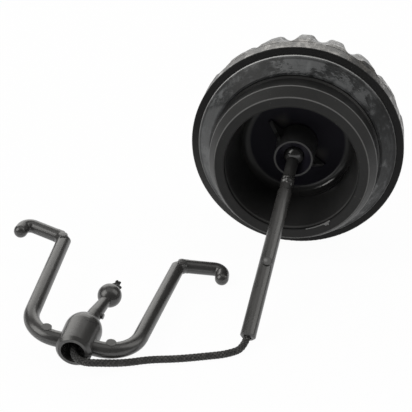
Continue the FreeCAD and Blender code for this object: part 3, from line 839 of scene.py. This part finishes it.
def makeTail(settings):
    # Cut yarns of the cord beyond the ball. Each runs straight ahead from its place in the cord,
    # drifts outwards with the square of its run, wavers a little, and closes to a blunt end.
    chance = np.random.default_rng(settings["seed"])
    yarns, steps, around = settings["yarns"], settings["steps"], settings["around"]
    run = np.linspace(0, 1, steps)[None, :]
    jitter = chance.uniform(-settings["turnSpread"], settings["turnSpread"], yarns)
    turn = (2 * math.pi * np.arange(yarns) / (yarns - 1) + jitter)[:, None]
    outward = np.full((yarns, 1), settings["spread"])
    outward[0] = 0.0
    reach = chance.uniform(settings["shortest"], settings["longest"], yarns)[:, None]
    drift = outward + chance.uniform(*settings["splayShare"], yarns)[:, None] * settings["splay"] * run**2
    along, about = settings["waverTurns"]
    waver = settings["waver"] * np.sin(along * run + about * turn)
    axes = [np.array(settings[name])[None, None, :] for name in ("ahead", "side", "up")]
    sideways = drift * np.cos(turn) + waver
    upwards = drift * np.sin(turn) - waver
    forward = reach * run - settings["sunk"]
    middle = np.array(settings["foot"]) + forward[..., None] * axes[0]
    middle = middle + sideways[..., None] * axes[1] + upwards[..., None] * axes[2]
    blunt = np.minimum(1.0, np.sqrt(np.maximum(settings["tipLeast"], (1 - run) * settings["tipRate"])))
    least, more = settings["bulge"]
    along, about = settings["bulgeTurns"]
    thick = settings["thickness"] * (least + more * np.sin(along * run + about * turn)) * blunt
    ring = np.linspace(0, 2 * math.pi, around, endpoint=False)
    circle = np.cos(ring)[:, None] * axes[1][0] - np.sin(ring)[:, None] * axes[2][0]
    points = middle[:, :, None, :] + thick[:, :, None, None] * circle[None, None, :, :]
    faces = sum([tubeFaces(steps, around, yarn * steps * around) for yarn in range(yarns)], [])
    return meshPiece("cordTail", points.reshape(-1, 3), faces, braid)


tail = makeTail(tailSettings)
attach(tail, "tether")
print("cord's cut end placed")

nickSettings = {
    "ball": tetherSettings["ball"],
    "ahead": (-0.0874, -0.8775, -0.4716),
    "side": (0.98325, 0.0, -0.18224),
    "up": tetherSettings["stemUp"],
    "start": 0.0072,
    "length": 0.0026,
    "inner": 0.00128,
    "rise": 0.00042,
    "halfTurn": 2.0,
    "alongPower": 0.8,
    "roundPower": 0.7,
    "folds": (8.5, 2.3, 0.9, 5),
    "creases": (3.0, 7.5, 1.2, 6),
    "crumple": (0.45, 0.5, 0.35),
    "sway": 0.0003,
    "swayTurns": 5,
    "rows": 60,
    "columns": 90,
}


def makeNick(settings):
    # Crumpled flash on the stem: a saddle round its upper side. Its height over the stem is a
    # hump in both directions, multiplied by crossed ripples, and its rim lies under the skin.
    along = np.linspace(0, 1, settings["rows"])[:, None]
    turn = np.linspace(-1, 1, settings["columns"])[None, :]
    hump = np.sin(math.pi * along) ** settings["alongPower"]
    hump = hump * np.cos(0.5 * math.pi * turn) ** settings["roundPower"]
    lengthwise, sideways, bend, bends = settings["folds"]
    folds = np.abs(np.sin(lengthwise * along + sideways * turn + bend * np.sin(bends * turn)))
    lengthwise, sideways, bend, bends = settings["creases"]
    creases = np.abs(np.sin(lengthwise * along - sideways * turn + bend * np.sin(bends * along)))
    least, folded, creased = settings["crumple"]
    radius = settings["inner"] + settings["rise"] * hump * (least + folded * folds + creased * creases)
    angle = turn * settings["halfTurn"]
    reach = settings["start"] + settings["length"] * along
    reach = reach + settings["sway"] * np.sin(settings["swayTurns"] * turn)
    axes = [np.array(settings[name])[None, None, :] for name in ("ahead", "side", "up")]
    points = np.array(settings["ball"]) + reach[..., None] * axes[0]
    points = points + (radius * np.sin(angle))[..., None] * axes[1]
    points = points + (radius * np.cos(angle))[..., None] * axes[2]
    faces = gridFaces(settings["rows"], settings["columns"], False)[:, ::-1]
    return meshPiece("stemNick", points.reshape(-1, 3), faces, stemPlastic)


nick = makeNick(nickSettings)
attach(nick, "tether")

padSettings = {
    "places": [(-0.02295, -0.0160, -0.0204), (-0.0512, -0.0168, -0.01583)],
    "side": (0.98711, 0.0, -0.16008),
    "ahead": (-0.00428, 0.99964, 0.02637),
    "up": tetherSettings["clipUp"],
    "radius": 0.00105,
    "rise": 0.00022,
    "sunk": 0.0007,
    "pole": 0.04,
    "fall": 0.4,
    "fallPower": 6,
    "rows": 16,
    "around": 36,
}


def makePads(settings):
    # Low round pads that the ejector pins left on the hooks' corners: rings about an upright line,
    # whose height falls with the sixth power of their radius, and a skirt that goes down into the arm.
    rows, around = settings["rows"], settings["around"]
    share = np.linspace(settings["pole"], 1, rows - 1)
    radius = settings["radius"] * np.append(share, 1.0)
    crown = settings["rise"] * (1 - settings["fall"] * share ** settings["fallPower"])
    height = np.append(crown, -settings["sunk"])
    turn = np.linspace(0, 2 * math.pi, around, endpoint=False)
    side, ahead, up = [np.array(settings[name]) for name in ("side", "ahead", "up")]
    circle = np.cos(turn)[:, None] * side - np.sin(turn)[:, None] * ahead
    pad = radius[:, None, None] * circle + height[:, None, None] * up
    points = np.array(settings["places"])[:, None, None, :] + pad[None, ...]
    count = len(settings["places"])
    faces = sum([tubeFaces(rows, around, pin * rows * around) for pin in range(count)], [])
    return meshPiece("cornerPads", points.reshape(-1, 3), faces, clipPlastic)


pads = makePads(padSettings)
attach(pads, "clip")

burrSettings = {
    "radius": 0.01535,
    "front": -0.00515,
    "from": -74.0,
    "to": -51.0,
    "height": 0.00045,
    "flap": 0.0010,
    "flapAt": 0.82,
    "flapHalf": 0.075,
    "lipWidth": 0.0002,
    "sunk": 0.00004,
    "torn": (0.75, 0.25),
    "tornTurns": (41, 3),
    "arch": (0.25, 0.9),
    "rows": 14,
    "columns": 70,
    "skin": 0.00008,
    "dark": 0.05,
    "light": 0.3,
    "cloudNoise": (2400.0, 3.0, 0.6),
    "roughness": 0.4,
    "roughSpread": 0.2,
    "cloudStrength": 0.6,
    "cloudRise": 0.00005,
    "specular": 0.5,
}


def makeBurrPlastic(settings):
    finish = Finish("burrPlastic")
    place = finish.place()
    cloud = finish.noise(place, *settings["cloudNoise"])
    finish.set(
        Base_Color=finish.tint(cloud, grey(settings["dark"]), grey(settings["light"])),
        Roughness=settings["roughness"] + cloud * settings["roughSpread"],
        Normal=finish.bump(cloud, settings["cloudStrength"], settings["cloudRise"]),
        Specular_IOR_Level=settings["specular"],
    )
    return finish


def makeBurr(settings):
    # Sliver of flash on the edge of the mouth: it follows the edge as a low torn lip, and near one end
    # a bell-shaped flap of it is folded out over the front face. The sheet arches between its rims.
    run = np.linspace(0, 1, settings["columns"])[None, :]
    across = np.linspace(0, 1, settings["rows"])[:, None]
    angle = np.radians(settings["from"] + (settings["to"] - settings["from"]) * run)
    fold = np.exp(-((run - settings["flapAt"]) / settings["flapHalf"]) ** 2)
    least, more = settings["torn"]
    lengthwise, crosswise = settings["tornTurns"]
    torn = least + more * np.sin(lengthwise * run + crosswise * across)
    radius = settings["radius"] - settings["sunk"]
    radius = radius + across * (settings["lipWidth"] + settings["flap"] * fold * torn)
    lipArch, flapArch = settings["arch"]
    arch = np.sin(math.pi * across) * (lipArch * run + flapArch * fold)
    front = settings["front"] - settings["sunk"] - settings["height"] * arch * torn
    points = np.stack([radius * np.cos(angle), front + 0 * radius, radius * np.sin(angle)], axis=-1)
    faces = gridFaces(settings["rows"], settings["columns"], False)
    piece = meshPiece("mouthBurr", points.reshape(-1, 3), faces, makeBurrPlastic(settings))
    skin = piece.modifiers.new("skin", "SOLIDIFY")
    skin.thickness = settings["skin"]
    return piece


burr = makeBurr(burrSettings)
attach(burr, "cap")
print("moulding marks placed")

floorSettings = {
    "height": -0.0252,
    "half": 12.0,
    "tone": 0.93,
    "toneSpread": 0.01,
    "patchNoise": (3.0, 1.0, 0.4),
    "roughness": 0.9,
    "whiteShare": 0.97,
    "white": 1.0,
}


def makeFloor(settings):
    finish = Finish("paleFloor")
    place = finish.place()
    patch = finish.noise(place, *settings["patchNoise"])
    low, high = settings["tone"] - settings["toneSpread"], settings["tone"] + settings["toneSpread"]
    finish.set(
        Base_Color=finish.tint(patch, grey(low), grey(high)),
        Roughness=settings["roughness"],
        Specular_IOR_Level=0.0,
    )
    # seen directly or in a reflection, the floor is mostly plain white, and keeps a part of its shadow
    seen = finish.node("ShaderNodeLightPath", {}, {}, "Is Camera Ray")
    for kind in ("Is Glossy Ray", "Is Transmission Ray"):
        seen = seen.calc("MAXIMUM", finish.node("ShaderNodeLightPath", {}, {}, kind))
    matt = Wire(finish, finish.shader.outputs[0])
    white = finish.node("ShaderNodeEmission", {}, {"Color": grey(settings["white"]), "Strength": 1.0})
    finish.show(finish.node("ShaderNodeMixShader", {}, {0: seen * settings["whiteShare"], 1: matt, 2: white}))
    flat = np.array([(-1, -1), (1, -1), (1, 1), (-1, 1)]) * settings["half"]
    corners = np.column_stack([flat, np.full(len(flat), settings["height"])])
    floor = meshPiece("floor", corners, np.array([(0, 1, 2, 3)]), finish, False)


makeFloor(floorSettings)

lightSettings = {
    "world": 0.12,
    "lamps": [
        {"name": "broadLamp", "place": (-0.32, 0.88, 0.42), "size": (1.3, 0.8), "watts": 6.0},
        {"name": "topLamp", "place": (0.0, 0.0, 1.0), "size": (0.8, 0.8), "watts": 1.3},
        {"name": "keyLamp", "place": (-0.72, -0.42, 0.62), "size": (0.7, 0.85), "watts": 5.8},
        {"name": "rightLamp", "place": (0.76, 0.14, 0.64), "size": (0.6, 0.95), "watts": 2.9},
    ],
    "tint": (1.0, 0.99, 0.96),
    "aim": (0.0, -0.01, 0.0),
}


def makeLight(settings):
    world = bpy.data.worlds.new("whiteRoom")
    scene.world = world
    world.use_nodes = True
    shine = world.node_tree.nodes["Background"]
    shine.inputs["Color"].default_value = grey(1.0)
    shine.inputs["Strength"].default_value = settings["world"]
    for lamp in settings["lamps"]:
        data = bpy.data.lights.new(lamp["name"], "AREA")
        data.shape = "RECTANGLE"
        data.size, data.size_y = lamp["size"]
        data.energy = lamp["watts"]
        data.color = settings["tint"]
        piece = bpy.data.objects.new(lamp["name"], data)
        piece.location = lamp["place"]
        piece.visible_camera = False
        toward = np.array(settings["aim"]) - np.array(lamp["place"])
        flat = math.hypot(toward[0], toward[1])
        piece.rotation_euler = (math.atan2(flat, -toward[2]), 0, math.atan2(-toward[0], toward[1]))
        scene.collection.objects.link(piece)


makeLight(lightSettings)
print("lights placed")
